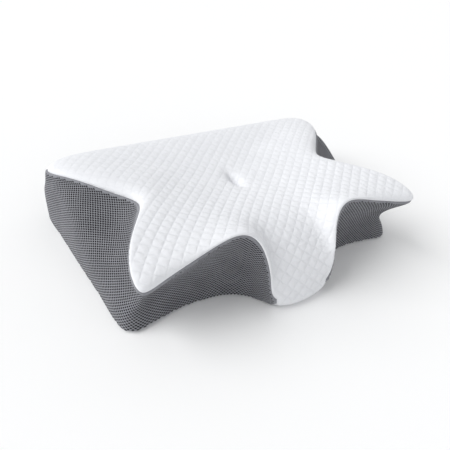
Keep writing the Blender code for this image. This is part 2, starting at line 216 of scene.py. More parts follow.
def build_form():
    """The subdivided form: flattened per panel half-way, then subdivided again onto the limit surface."""
    cage = bmesh.new()
    columns = [[cage.verts.new(p * MM) for p in column(i)] for i in range(LAST + 1)]
    top = cage.verts.new(Vector((0.0, DIMPLE_Y, DIMPLE_Z)) * MM)
    bottom = cage.verts.new(Vector((0.0, 10.0, 0.0)) * MM)
    for i in range(LAST):
        one = columns[i]
        two = columns[i + 1]
        cage.faces.new((top, one[0], two[0])).material_index = PANELS.index("top")
        for row in range(len(RINGS) - 1):
            face = cage.faces.new((one[row], one[row + 1], two[row + 1], two[row]))
            face.material_index = PANELS.index(panel_of(row, i))
        cage.faces.new((one[-1], bottom, two[-1])).material_index = PANELS.index("bottom")
    mesh = bpy.data.meshes.new("form")
    cage.to_mesh(mesh)
    cage.free()
    for _ in PANELS:
        mesh.materials.append(None)
    form = bpy.data.objects.new("form", mesh)
    bpy.context.scene.collection.objects.link(form)
    mirror = form.modifiers.new("mirror", "MIRROR")
    mirror.merge_threshold = 0.0001
    smooth = form.modifiers.new("smooth", "SUBSURF")
    smooth.levels = smooth.render_levels = 2
    smooth.use_limit_surface = False
    half_way = evaluated(form)
    form.modifiers.clear()
    form.data = half_way
    work = bmesh.new()
    work.from_mesh(half_way)
    bmesh.ops.recalc_face_normals(work, faces=work.faces)
    for edge in work.edges:
        edge.seam = len({f.material_index for f in edge.link_faces}) > 1
    work.to_mesh(half_way)
    work.free()
    half_way.uv_layers.new(name="flat")
    bpy.context.view_layer.objects.active = form
    form.select_set(True)
    bpy.ops.object.mode_set(mode="EDIT")
    bpy.ops.mesh.select_all(action="SELECT")
    bpy.ops.uv.unwrap(method="MINIMUM_STRETCH", iterations=30, margin=0.01)
    bpy.ops.object.mode_set(mode="OBJECT")
    finer = []
    for levels in (2, 1):
        form.modifiers.clear()
        smooth = form.modifiers.new("smooth", "SUBSURF")
        smooth.levels = smooth.render_levels = levels
        smooth.use_limit_surface = True
        smooth.uv_smooth = "PRESERVE_BOUNDARIES"
        finer.append(evaluated(form))
    bpy.data.objects.remove(form, do_unlink=True)
    return finer


def read_mesh(mesh):
    """A form mesh as arrays: points, normals, quads, the quads' flat corners and their panels."""
    points = np.zeros(len(mesh.vertices) * 3)
    mesh.vertices.foreach_get("co", points)
    normals = np.zeros(len(mesh.vertices) * 3, np.float32)
    mesh.vertex_normals.foreach_get("vector", normals)
    corners = np.zeros(len(mesh.loops) * 2)
    mesh.uv_layers["flat"].data.foreach_get("uv", corners)
    quads = np.zeros(len(mesh.loops), int)
    mesh.loops.foreach_get("vertex_index", quads)
    panels = np.zeros(len(mesh.polygons), int)
    mesh.polygons.foreach_get("material_index", panels)
    return (points.reshape(-1, 3), normals.reshape(-1, 3).astype(float), quads.reshape(-1, 4),
            corners.reshape(-1, 4, 2), panels)


def press_dimple(points):
    """Pull the tuft deeper than the CAD form, with small creases running out of it."""
    across = points[:, 0] / DIMPLE_SPREAD[0]
    along = (points[:, 1] - DIMPLE_Y * MM + DIMPLE_FORWARD) / DIMPLE_SPREAD[1]
    reach = np.hypot(points[:, 0] / CREASE_REACH[0], (points[:, 1] - DIMPLE_Y * MM) / CREASE_REACH[1])
    turn = np.arctan2(points[:, 1] - DIMPLE_Y * MM, points[:, 0])
    creases = np.cos(CREASES * turn + 0.9) * reach * np.exp(-(reach / 0.5) ** 2)
    on_top = points[:, 2] > 0.05
    points[:, 2] -= (DIMPLE_EXTRA * np.exp(-across ** 2 - along ** 2) + DIMPLE_CREASE * creases) * on_top


FORM, COARSE_FORM = build_form()
POINTS, NORMALS, QUADS, QUAD_UV, QUAD_PANEL = read_mesh(FORM)
COARSE_POINTS, COARSE_NORMALS, COARSE_QUADS, _, COARSE_PANEL = read_mesh(COARSE_FORM)

# The form is laid on the frame by the box of the side panels' CAD nodes.
left_low, left_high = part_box("cover_side_panel_left")
side_points = POINTS[np.unique(QUADS[QUAD_PANEL == PANELS.index("side")])]
SHIFT_Y = (left_low.y + left_high.y) / 2 - (side_points[:, 1].min() + side_points[:, 1].max()) / 2
for form_points in (POINTS, COARSE_POINTS):
    press_dimple(form_points)
    form_points[:, 1] += SHIFT_Y
SURFACE = BVHTree.FromPolygons(POINTS.tolist(), QUADS.tolist())


class Panel:
    """One cover panel: its triangles on the form and in the flat, and its rim."""

    def __init__(self, *names, side=0, upright=False):
        keep = np.isin(QUAD_PANEL, [PANELS.index(n) for n in names])
        if side:
            keep &= POINTS[QUADS].mean(axis=1)[:, 0] * side > 0
        quads = QUADS[keep]
        flat = QUAD_UV[keep].copy()
        ids, first = np.unique(quads.ravel(), return_index=True)
        uv = flat.reshape(-1, 2)[first]
        number = {int(v): i for i, v in enumerate(ids)}
        tris = np.concatenate([quads[:, [0, 1, 2]], quads[:, [0, 2, 3]]])
        self.tris = np.searchsorted(ids, tris)
        a, b, c = (POINTS[tris[:, i]] for i in range(3))
        real = np.linalg.norm(np.cross(b - a, c - a), axis=1).sum() / 2
        p, q, r = (uv[self.tris[:, i]] for i in range(3))
        signed = ((q - p)[:, 0] * (r - p)[:, 1] - (q - p)[:, 1] * (r - p)[:, 0]).sum() / 2
        uv *= math.sqrt(real / abs(signed))
        if signed < 0:
            uv[:, 0] *= -1
        self.area = real
        self.uv = uv - uv.mean(axis=0)
        self.points = POINTS[ids]
        self.normals = NORMALS[ids]
        self.align(upright)
        edges = {(int(quad[i]), int(quad[(i + 1) % 4])): True for quad in quads for i in range(4)}
        following = {one: two for one, two in edges if (two, one) not in edges}
        start = min(following)
        loop = [start]
        while following[loop[-1]] != start:
            loop.append(following[loop[-1]])
        self.rim = np.array([number[v] for v in loop])
        self.tree = BVHTree.FromPolygons([(u, v, 0.0) for u, v in self.uv], self.tris.tolist())
        rim_uv = self.uv[self.rim]
        ahead = np.roll(rim_uv, -1, axis=0)
        samples = np.concatenate([rim_uv + (ahead - rim_uv) * t for t in (0.0, 0.25, 0.5, 0.75)])
        self.rim_tree = KDTree(len(samples))
        for i, (u, v) in enumerate(samples):
            self.rim_tree.insert((u, v, 0.0), i)
        self.rim_tree.balance()

    def align(self, upright):
        """Turn the flat shape so that U runs along the form's X or, for an upright panel, V along its Z."""
        a, b, c = (self.points[self.tris[:, i]] for i in range(3))
        p, q, r = (self.uv[self.tris[:, i]] for i in range(3))
        x = np.stack([b[:, 0] - a[:, 0], c[:, 0] - a[:, 0]], 1)
        z = np.stack([b[:, 2] - a[:, 2], c[:, 2] - a[:, 2]], 1)
        m = np.stack([q - p, r - p], 1)
        det = m[:, 0, 0] * m[:, 1, 1] - m[:, 0, 1] * m[:, 1, 0]
        good = np.abs(det) > 1e-14
        inverse = np.linalg.inv(m[good])
        share = np.abs(det[good])[:, None]
        gradient = [(np.einsum("nij,nj->ni", inverse, k[good]) * share).sum(0) for k in (x, z)]
        along = gradient[1] if upright else gradient[0]
        angle = math.atan2(along[1], along[0]) - (math.pi / 2 if upright else 0.0)
        cos, sin = math.cos(-angle), math.sin(-angle)
        self.uv = self.uv @ np.array([[cos, sin], [-sin, cos]])

    def lift(self, flat):
        """Points and normals on the form for points in the flat."""
        place = np.zeros((len(flat), 3))
        normal = np.zeros((len(flat), 3))
        nearest = [self.tree.find_nearest((u, v, 0.0)) for u, v in flat]
        index = np.array([n[2] for n in nearest])
        spot = np.array([(n[0].x, n[0].y) for n in nearest])
        inside = np.array([n[3] for n in nearest]) < 1e-6
        a, b, c = (self.uv[self.tris[index, i]] for i in range(3))
        det = (b[:, 0] - a[:, 0]) * (c[:, 1] - a[:, 1]) - (b[:, 1] - a[:, 1]) * (c[:, 0] - a[:, 0])
        det = np.where(np.abs(det) < 1e-16, 1e-16, det)
        d = spot - a
        wb = (d[:, 0] * (c[:, 1] - a[:, 1]) - d[:, 1] * (c[:, 0] - a[:, 0])) / det
        wc = ((b[:, 0] - a[:, 0]) * d[:, 1] - (b[:, 1] - a[:, 1]) * d[:, 0]) / det
        wa = 1.0 - wb - wc
        for weight, corner in ((wa, 0), (wb, 1), (wc, 2)):
            place += weight[:, None] * self.points[self.tris[index, corner]]
            normal += weight[:, None] * self.normals[self.tris[index, corner]]
        normal /= np.linalg.norm(normal, axis=1)[:, None]
        return place, normal, inside

    def rim_distance(self, flat):
        """Distance in the flat from each point to the panel's rim."""
        return np.array([self.rim_tree.find((u, v, 0.0))[2] for u, v in flat])

    def grid(self, step, angle=0.0, margin=0.6, stagger=False, step_v=None, cell=0.0):
        """Regular points inside the flat shape, at least `margin` steps from the rim."""
        step_v = step_v or step
        cos, sin = math.cos(angle), math.sin(angle)
        back = np.array([[cos, -sin], [sin, cos]])
        turned = self.uv @ back
        low = np.floor(turned.min(0) / (step, step_v)).astype(int)
        high = np.ceil(turned.max(0) / (step, step_v)).astype(int)
        rows = np.arange(low[1], high[1] + 1)
        columns = np.arange(low[0], high[0] + 1)
        i, j = np.meshgrid(columns, rows)
        u = i * step + (np.abs(j) % 2) * (step / 2 if stagger else 0.0)
        flat = np.stack([u.ravel(), (j * step_v).ravel()], 1)
        if cell:
            flat -= QUILT_BUNCH * np.sin(flat * (2 * math.pi / cell)) * cell / (2 * math.pi)
        flat = flat @ back.T
        _, _, inside = self.lift(flat)
        flat = flat[inside]
        return flat[self.rim_distance(flat) > margin * min(step, step_v)]


def triangulate(panel, inner, holes=()):
    """Fill the panel's flat shape. Returns flat points (rim first), triangles and, per triangle, its hole."""
    rim = panel.uv[panel.rim]
    points = [Vector(p) for p in rim] + [Vector(p) for p in inner]
    faces = [list(range(len(rim)))]
    for ring in holes:
        start = len(points)
        points.extend(Vector(p) for p in ring)
        faces.append(list(range(start, start + len(ring))))
    flat, _, tris, origin, _, tri_faces = delaunay_2d_cdt(points, [], faces, 1, 1e-7)
    order = {}
    for new, olds in enumerate(origin):
        for old in olds:
            order[old] = new
    flat = np.array([tuple(p) for p in flat])
    tris = np.array(tris)
    hole = np.array([max(f) for f in tri_faces])
    return flat, tris, hole, order


def finish_mesh(name, points, faces, look, slot):
    """Make a smooth piece that rides on the pillow's body, with its look as its one material. The slot argument is
    not used.
    """
    mesh = bpy.data.meshes.new(name)
    mesh.from_pydata([tuple(p) for p in points], [], [tuple(int(v) for v in f) for f in faces])
    mesh.validate()
    mesh.shade_smooth()
    mesh.materials.append(look)
    made = bpy.data.objects.new(name, mesh)
    bpy.context.scene.collection.objects.link(made)
    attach(made, "pillow")
    return made


def attribute(obj, name, values):
    """Give the first points of a piece one value each, and the rest (its inner face) zero."""
    data = np.zeros(len(obj.data.vertices), np.float32)
    data[:len(values)] = values
    obj.data.attributes.new(name, "FLOAT", "POINT").data.foreach_set("value", data)


def cloth_coordinates(obj, flat):
    """Store where each point of the outer face lies in the flat cloth, for the material."""
    data = np.zeros((len(obj.data.vertices), 3), np.float32)
    data[:len(flat), :2] = flat
    obj.data.attributes.new("cloth", "FLOAT_VECTOR", "POINT").data.foreach_set("vector", data.ravel())


def roll_in(distance):
    """How far below the form a panel lies at this distance from its rim."""
    return -SEAM_ROLL * np.exp(-(distance / SEAM_ROLL_WIDTH) ** 2)


def hem(distance):
    """Height of the seam allowance folded under a mesh panel's edge."""
    return HEM_HEIGHT * np.exp(-((distance - HEM_MIDDLE) / HEM_WIDTH) ** 4)


def lining(panel, points, faces, rim_now, depth, step=0.009):
    """Close a panel with a plain inner face joined to its rim. Returns all points, faces."""
    flat, tris, _, order = triangulate(panel, panel.grid(step))
    place, normal, _ = panel.lift(flat)
    rim_back = [order[i] for i in range(len(panel.rim))]
    place[rim_back] = panel.points[panel.rim]
    normal[rim_back] = panel.normals[panel.rim]
    place = place - normal * depth
    start = len(points)
    points = np.concatenate([points, place])
    faces = [list(f) for f in faces] + [[start + f[0], start + f[2], start + f[1]] for f in tris]
    count = len(rim_now)
    for i in range(count):
        one, two = rim_now[i], rim_now[(i + 1) % count]
        faces.append([two, one, start + rim_back[i], start + rim_back[(i + 1) % count]])
    return points, faces


# ------------------------------------------------------------------ materials
class Look:
    """A small helper for building one material's nodes."""

    def __init__(self, name, roughness, **sockets):
        self.material = bpy.data.materials.new(name)
        self.material.use_nodes = True
        self.tree = self.material.node_tree
        self.shader = self.tree.nodes["Principled BSDF"]
        self.shader.inputs["Roughness"].default_value = roughness
        for socket, value in sockets.items():
            self.shader.inputs[socket.replace("_", " ")].default_value = value

    def node(self, kind, **settings):
        made = self.tree.nodes.new(kind)
        for key, value in settings.items():
            setattr(made, key, value)
        return made

    def link(self, source, target):
        self.tree.links.new(source, target)

    def place(self, scale, source="cloth"):
        """Coordinates in the flat cloth (or in the object), in millimetres times `scale`."""
        if source == "object":
            start = self.node("ShaderNodeTexCoord").outputs["Object"]
        else:
            start = self.node("ShaderNodeAttribute", attribute_name=source).outputs["Vector"]
        mapping = self.node("ShaderNodeMapping")
        mapping.inputs["Scale"].default_value = (1000 * scale,) * 3
        self.link(start, mapping.inputs["Vector"])
        return mapping.outputs["Vector"]

    def noise(self, vector, scale=1.0, detail=3.0, roughness=0.5):
        made = self.node("ShaderNodeTexNoise")
        made.inputs["Scale"].default_value = scale
        made.inputs["Detail"].default_value = detail
        made.inputs["Roughness"].default_value = roughness
        self.link(vector, made.inputs["Vector"])
        return made.outputs["Fac"]

    def wave(self, vector, scale, direction="X", distortion=0.0, detail=0.0):
        made = self.node("ShaderNodeTexWave", wave_type="BANDS", bands_direction=direction)
        made.inputs["Scale"].default_value = scale
        made.inputs["Distortion"].default_value = distortion
        made.inputs["Detail"].default_value = detail
        self.link(vector, made.inputs["Vector"])
        return made.outputs["Fac"]

    def math(self, operation, one, two=0.5):
        made = self.node("ShaderNodeMath", operation=operation)
        for i, value in enumerate((one, two)):
            if isinstance(value, (int, float)):
                made.inputs[i].default_value = value
            else:
                self.link(value, made.inputs[i])
        return made.outputs[0]

    def ramp(self, factor, stops):
        made = self.node("ShaderNodeValToRGB")
        elements = made.color_ramp.elements
        while len(elements) < len(stops):
            elements.new(0.5)
        for element, (position, colour) in zip(elements, stops):
            element.position = position
            element.color = (*colour, 1.0)
        self.link(factor, made.inputs["Fac"])
        return made.outputs["Color"]

    def mix(self, factor, one, two, blend="MIX"):
        made = self.node("ShaderNodeMix", data_type="RGBA", blend_type=blend)
        for socket, value in ((made.inputs[0], factor), (made.inputs[6], one), (made.inputs[7], two)):
            if isinstance(value, (int, float)):
                socket.default_value = value
            elif isinstance(value, tuple):
                socket.default_value = (*value, 1.0)
            else:
                self.link(value, socket)
        return made.outputs[2]

    def colour(self, source):
        self.link(source, self.shader.inputs["Base Color"])

    def bump(self, height, distance, strength=1.0):
        made = self.node("ShaderNodeBump")
        made.inputs["Strength"].default_value = strength
        made.inputs["Distance"].default_value = distance
        self.link(height, made.inputs["Height"])
        self.link(made.outputs["Normal"], self.shader.inputs["Normal"])


def knit_look():
    """White jacquard knit: fine rows of stitches, a trace of shade in the sewn lines, soft sheen."""
    look = Look("quilted_white_knit", 0.78, Sheen_Weight=0.25, Sheen_Roughness=0.45, Specular_IOR_Level=0.25)
    wales = look.wave(look.place(1.0), 1.0 / 1.15 * 0.5, "X", 0.6, 1.0)
    courses = look.wave(look.place(1.0), 1.0 / 0.85 * 0.5, "Y", 0.6, 1.0)
    stitches = look.math("MULTIPLY", wales, courses)
    fuzz = look.noise(look.place(0.9), 1.0, 5.0, 0.65)
    height = look.math("ADD", look.math("MULTIPLY", stitches, 0.7), look.math("MULTIPLY", fuzz, 0.5))
    look.bump(height, 0.00022, 0.8)
    broad = look.noise(look.place(0.02), 1.0, 2.0)
    tone = look.ramp(broad, [(0.3, (0.858, 0.866, 0.892)), (0.7, (0.884, 0.892, 0.917))])
    line = look.node("ShaderNodeAttribute", attribute_name="line").outputs["Fac"]
    tone = look.mix(look.math("MULTIPLY", line, 0.55), tone, (0.80, 0.81, 0.84))
    speck = look.ramp(stitches, [(0.0, (0.96, 0.96, 0.965)), (0.6, (1.0, 1.0, 1.0))])
    look.colour(look.mix(1.0, tone, speck, "MULTIPLY"))
    return look.material


def mesh_look():
    """Grey spacer mesh: glossy yarn round each hole, and painted shade that colours the floor of each hole
    near-black.
    """
    look = Look("grey_spacer_mesh", 0.62, Sheen_Weight=0.15, Sheen_Roughness=0.4, Specular_IOR_Level=0.35)
    yarn = look.wave(look.place(1.0), 1.0 / 0.7 * 0.5, "DIAGONAL", 1.2, 1.0)
    fuzz = look.noise(look.place(1.1), 1.0, 4.0, 0.6)
    look.bump(look.math("ADD", look.math("MULTIPLY", yarn, 0.6), fuzz), 0.00018, 0.9)
    broad = look.noise(look.place(0.03), 1.0, 3.0)
    web = look.ramp(broad, [(0.3, (0.226, 0.229, 0.250)), (0.7, (0.284, 0.288, 0.312))])
    threads = look.ramp(yarn, [(0.0, (0.80, 0.80, 0.81)), (0.7, (1.08, 1.08, 1.08))])
    web = look.mix(1.0, web, threads, "MULTIPLY")
    # painted shade: the floors of the holes are coloured near-black to stand for the shade deep in each hole
    pit_shade = look.node("ShaderNodeAttribute", attribute_name="pit_shade").outputs["Fac"]
    inside = look.node("ShaderNodeClamp")
    look.link(look.math("MULTIPLY", pit_shade, 5.0), inside.inputs["Value"])
    look.colour(look.mix(inside.outputs[0], web, (0.006, 0.006, 0.008)))
    return look.material


def plain_cloth(name, dark, light, pitch, roughness, relief):
    """A woven or jersey cloth: two crossing sets of threads and a slow variation of tone."""
    look = Look(name, roughness, Sheen_Weight=0.1)
    warp = look.wave(look.place(1.0, "object"), 0.5 / pitch, "X", 0.5, 1.0)
    weft = look.wave(look.place(1.0, "object"), 0.5 / pitch, "Z", 0.5, 1.0)
    threads = look.math("MULTIPLY", warp, weft)
    broad = look.noise(look.place(0.05, "object"), 1.0, 3.0)
    tone = look.ramp(look.math("ADD", look.math("MULTIPLY", threads, 0.5), look.math("MULTIPLY", broad, 0.5)),
                     [(0.2, dark), (0.7, light)])
    look.colour(tone)
    look.bump(threads, relief)
    return look.material


def foam_look():
    """Cream memory foam with open cells."""
    look = Look("cream_memory_foam", 0.9)
    cells = look.node("ShaderNodeTexVoronoi", feature="SMOOTH_F1")
    cells.inputs["Scale"].default_value = 0.8
    look.link(look.place(1.0, "object"), cells.inputs["Vector"])
    look.colour(look.ramp(cells.outputs["Distance"], [(0.0, (0.70, 0.62, 0.44)), (0.5, (0.88, 0.83, 0.68))]))
    look.bump(cells.outputs["Distance"], 0.0005)
    return look.material


def nylon_look():
    """Dark moulded nylon of the zip's coils, slightly worn in random patches."""
    look = Look("dark_nylon", 0.38, Specular_IOR_Level=0.5)
    wear = look.noise(look.place(0.25, "object"), 1.0, 5.0, 0.7)
    look.colour(look.ramp(wear, [(0.35, (0.030, 0.030, 0.034)), (0.75, (0.075, 0.075, 0.082))]))
    look.bump(wear, 0.00008)
    return look.material


def metal_look():
    """Plated zinc of the slider: fine tumbling marks."""
    look = Look("plated_zinc", 0.32, Metallic=1.0)
    marks = look.noise(look.place(1.6, "object"), 1.0, 6.0, 0.75)
    look.colour(look.ramp(marks, [(0.3, (0.30, 0.30, 0.32)), (0.7, (0.52, 0.52, 0.54))]))
    look.bump(marks, 0.00005)
    return look.material


KNIT = knit_look()
MESH = mesh_look()
FOAM = foam_look()
JERSEY = plain_cloth("white_liner_jersey", (0.62, 0.62, 0.60), (0.80, 0.80, 0.78), 0.9, 0.9, 0.0002)
TAPE = plain_cloth("grey_zip_tape", (0.085, 0.086, 0.094), (0.150, 0.152, 0.164), 0.55, 0.75, 0.00015)
SATIN = plain_cloth("white_label_satin", (0.72, 0.72, 0.72), (0.84, 0.84, 0.84), 0.35, 0.42, 0.00006)
THREAD = plain_cloth("grey_sewing_thread", (0.16, 0.16, 0.175), (0.26, 0.26, 0.28), 0.25, 0.6, 0.00008)
NYLON = nylon_look()
METAL = metal_look()


# ------------------------------------------------------------------ the cover
QUILT_TURN = math.radians(45)


def quilt_relief(flat):
    """Height of the quilted knit above the form, and how close each point is to a sewn line (0 to 1)."""
    cos, sin = math.cos(QUILT_TURN), math.sin(QUILT_TURN)
    cells = flat @ np.array([[cos, -sin], [sin, cos]]) / QUILT_CELL
    across = np.abs((cells - np.floor(cells)) - 0.5) * 2
    puff = ((1 - across[:, 0] ** 6) * (1 - across[:, 1] ** 6)).clip(0) ** 0.7
    line = np.exp(-((1 - across.max(axis=1)) * QUILT_CELL / 2 / 0.0007) ** 2)
    return puff, line


def puffed(base, tris, pinned):
    """Simulate the padded knit between its sewn lines: it is cut a little larger and pushed out by the wadding."""
    mesh = bpy.data.meshes.new("quilt")
    mesh.from_pydata((base * SIM_SCALE).tolist(), [], [tuple(int(v) for v in t) for t in tris])
    quilt = bpy.data.objects.new("quilt", mesh)
    bpy.context.scene.collection.objects.link(quilt)
    held = quilt.vertex_groups.new(name="sewn")
    held.add([int(v) for v in np.nonzero(pinned)[0]], 1.0, "REPLACE")
    cloth = quilt.modifiers.new("cloth", "CLOTH")
    for key, value in {"quality": 5, "mass": 0.25, "tension_stiffness": 25, "compression_stiffness": 12,
                       "shear_stiffness": 8, "bending_stiffness": 0.6, "tension_damping": 12,
                       "compression_damping": 12, "shear_damping": 12, "bending_damping": 1.5, "air_damping": 4,
                       "vertex_group_mass": "sewn", "shrink_min": -SIM_SLACK, "shrink_max": -SIM_SLACK,
                       "use_pressure": True, "uniform_pressure_force": SIM_PRESSURE}.items():
        setattr(cloth.settings, key, value)
    cloth.settings.effector_weights.gravity = 0.0
    cloth.collision_settings.use_collision = False
    cloth.point_cache.frame_start = 1
    cloth.point_cache.frame_end = SIM_FRAMES
    for moment in range(1, SIM_FRAMES + 1):
        bpy.context.scene.frame_set(moment)
    result = evaluated(quilt)
    points = np.zeros(len(base) * 3)
    result.vertices.foreach_get("co", points)
    bpy.data.objects.remove(quilt, do_unlink=True)
    bpy.context.scene.frame_set(1)
    return points.reshape(-1, 3) / SIM_SCALE


def make_top():
    """The quilted knit panel, puffed up between its sewn lines."""
    panel = Panel("top")
    step = QUILT_CELL / QUILT_STEPS
    inner = panel.grid(step, QUILT_TURN, cell=QUILT_CELL)
    flat, tris, _, order = triangulate(panel, inner)
    place, normal, _ = panel.lift(flat)
    rim = [order[i] for i in range(len(panel.rim))]
    place[rim] = panel.points[panel.rim]
    normal[rim] = panel.normals[panel.rim]
    distance = panel.rim_distance(flat)
    puff, line = quilt_relief(flat)
    edge = 1 - np.exp(-(distance / SEWN_EDGE) ** 2)
    edge *= BACK_SLACK + (1 - BACK_SLACK) * np.array([ease(-y, -0.07, 0.07) for y in place[:, 1]])
    sewn = line > 0.6
    base = place + normal * (roll_in(distance) - edge * PUFF * PUFF_SUNK)[:, None]
    start = base + normal * (edge * 0.0002 * puff)[:, None]
    moved = puffed(start, tris, sewn | (distance < 0.0004)) - base
    length = np.linalg.norm(moved, axis=1)
    moved *= (np.minimum(length, PUFF_LIMIT) / np.maximum(length, 1e-9) * edge)[:, None]
    place = base + moved
    points, faces = lining(panel, place, tris, rim, SHELL + SEAM_ROLL)
    made = finish_mesh("quilted_top_panel", points, faces, KNIT, "quilted_knit")
    attribute(made, "line", line * edge)
    cloth_coordinates(made, flat)
    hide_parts("cover_top_panel")


def make_mesh_panel(name, node, panel, above=None):
    """A panel of spacer mesh with its rows of real holes, only above a height if one is given."""
    sides = 6
    centres = panel.grid(HOLE_PITCH, 0.0, 0.0, True, ROW_PITCH)
    centres = centres[panel.rim_distance(centres) > PLAIN_EDGE]
    if above is not None:
        spot, _, _ = panel.lift(centres)
        centres = centres[spot[:, 2] > above]
    angles = (np.arange(sides) + 0.5) * 2 * math.pi / sides
    ring = np.stack([np.cos(angles) * HOLE_SIZE[0], np.sin(angles) * HOLE_SIZE[1]], 1)
    rings = centres[:, None, :] + ring[None]
    inner = panel.grid(WEB_STEP)
    if len(centres):
        holes = KDTree(len(centres))
        for i, (u, v) in enumerate(centres):
            holes.insert((u, v, 0.0), i)
        holes.balance()
        clear = [p for p in inner if holes.find((p[0], p[1], 0.0))[2] > HOLE_CLEARANCE]
        inner = np.array(clear).reshape(-1, 2)
    flat, tris, hole, order = triangulate(panel, inner, rings)
    tris = tris[hole == 0]
    place, normal, _ = panel.lift(flat)
    rim = [order[i] for i in range(len(panel.rim))]
    place[rim] = panel.points[panel.rim]
    normal[rim] = panel.normals[panel.rim]
    distance = panel.rim_distance(flat)
    place = place + normal * (roll_in(distance) + hem(distance))[:, None]
    count = len(place)
    first = len(panel.rim) + len(inner)
    tops = np.array([order[first + i] for i in range(len(centres) * sides)]).reshape(-1, sides)
    floor_flat = (centres[:, None, :] + ring[None] * HOLE_FLOOR).reshape(-1, 2)
    faces = tris.tolist()
    # marks the points of the hole floors, which the material paints near-black as painted shade
    pit_shade = np.zeros(count)
    if len(centres):
        pit_shade[tops] = 0.0
        floor, down, _ = panel.lift(floor_flat)
        distance = panel.rim_distance(floor_flat)
        floor = floor + down * (roll_in(distance) + hem(distance) - HOLE_DEPTH)[:, None]
        lows = (count + np.arange(len(floor))).reshape(-1, sides)
        for k in range(sides):
            n = (k + 1) % sides
            faces.extend(np.stack([tops[:, k], tops[:, n], lows[:, n], lows[:, k]], 1).tolist())
        faces.extend(lows.tolist())
        place = np.concatenate([place, floor])
        flat = np.concatenate([flat, floor_flat])
        pit_shade = np.concatenate([pit_shade, np.ones(len(floor))])
    points, faces = lining(panel, place, faces, rim, SHELL + SEAM_ROLL)
    made = finish_mesh(name, points, faces, MESH, "spacer_mesh")
    attribute(made, "pit_shade", pit_shade)
    cloth_coordinates(made, flat)
    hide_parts(node)


make_top()
for side_name, sign in (("left", -1), ("right", 1)):
    make_mesh_panel("mesh_side_panel_" + side_name, "cover_side_panel_" + side_name,
                    Panel("side", side=sign, upright=True))
make_mesh_panel("mesh_back_panel", "cover_back_panel", Panel("back"))
make_mesh_panel("mesh_base_panel", "cover_bottom_panel", Panel("bottom"), above=RESTING_FACE)


# ------------------------------------------------------------------ what lies under the cover
FOAM_DEPTH = 0.0052      # how far the foam lies below the cover's outer face
LINER_DEPTH = 0.0040
LINER_THICK = 0.0005


def inner_shell(name, names, depth, thick, look, slot, node):
    """A smooth layer under the cover; with no thickness it is the whole closed block."""
    quads = COARSE_QUADS[np.isin(COARSE_PANEL, [PANELS.index(n) for n in names])]
    ids, local = np.unique(quads, return_inverse=True)
    quads = local.reshape(-1, 4)
    points = COARSE_POINTS[ids] - COARSE_NORMALS[ids] * depth
    faces = quads.tolist()
    if thick:
        count = len(ids)
        points = np.concatenate([points, points - COARSE_NORMALS[ids] * thick])
        faces += (quads[:, ::-1] + count).tolist()
        edges = {(q[i], q[(i + 1) % 4]) for q in quads.tolist() for i in range(4)}
        faces += [[two, one, one + count, two + count] for one, two in sorted(edges) if (two, one) not in edges]
    made = finish_mesh(name, points, faces, look, slot)
    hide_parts(node)
    return made


def liner(name, names, node):
    """One half of the inner jersey bag; its parts are cut separately and sewn."""
    parts = [Panel(n, side=sign) for n in names for sign in ((-1, 1) if n == "side" else (0,))]
    made = inner_shell(name, names, LINER_DEPTH, LINER_THICK, JERSEY, "liner_jersey", node)


foam_piece = inner_shell("foam_block", PANELS, FOAM_DEPTH, 0.0, FOAM, "memory_foam", "foam_core")
liner("liner_top_sheet", ("top",), "liner_top")
liner("liner_base_sheet", ("back", "side", "bottom", "zip"), "liner_base")


# ------------------------------------------------------------------ the zip
def sweep(path, radius, sides=6):
    """Points and faces of a closed round tube along a path; radius is one number or one per point."""
    path = np.asarray(path, float)
    radius = np.broadcast_to(radius, len(path))
    ahead = np.gradient(path, axis=0)
    ahead /= np.linalg.norm(ahead, axis=1)[:, None]
    side = np.cross(ahead, (0.31, 0.74, 0.59))
    side /= np.linalg.norm(side, axis=1)[:, None]
    other = np.cross(ahead, side)
    angles = np.arange(sides) * 2 * math.pi / sides
    points = (path[:, None] + radius[:, None, None] * (np.cos(angles)[None, :, None] * side[:, None]
              + np.sin(angles)[None, :, None] * other[:, None])).reshape(-1, 3)
    faces = [[r * sides + k, r * sides + (k + 1) % sides, (r + 1) * sides + (k + 1) % sides, (r + 1) * sides + k]
             for r in range(len(path) - 1) for k in range(sides)]
    faces.append(list(range(sides))[::-1])
    faces.append(list(range((len(path) - 1) * sides, len(path) * sides)))
    return points, faces


def repeated(points, faces, offsets):
    """Copies of a small mesh at each offset, as one mesh."""
    many = (points[None] + np.asarray(offsets)[:, None]).reshape(-1, 3)
    count = len(points)
    return many, [[v + i * count for v in face] for i in range(len(offsets)) for face in faces]


def closed_strip(front, wide, thick, flip=False):
    """Points and faces of a thin strip: rows of `wide` front points, closed by a back face behind them."""
    count = len(front)
    rows = count // wide
    back = [(x, y - thick, z) for x, y, z in front]
    faces = []
    for row in range(rows - 1):
        for i in range(wide - 1):
            a = row * wide + i
            faces.append([a, a + 1, a + 1 + wide, a + wide])
            faces.append([v + count for v in (a + wide, a + 1 + wide, a + 1, a)])
    rim = (list(range(wide)) + [row * wide + wide - 1 for row in range(1, rows)]
           + [(rows - 1) * wide + i for i in range(wide - 2, -1, -1)]
           + [row * wide for row in range(rows - 2, 0, -1)])
    faces += [[two, one, one + count, two + count] for one, two in zip(rim, rim[1:] + rim[:1])]
    if flip:
        faces = [face[::-1] for face in faces]
    return np.array(front + back), faces


def cover_face(x, z):
    """How far back the cover's outer face lies at this place on the back wall."""
    return SURFACE.ray_cast(Vector((x, OUTSIDE, z)), Vector((0, -1, 0)))[0].y


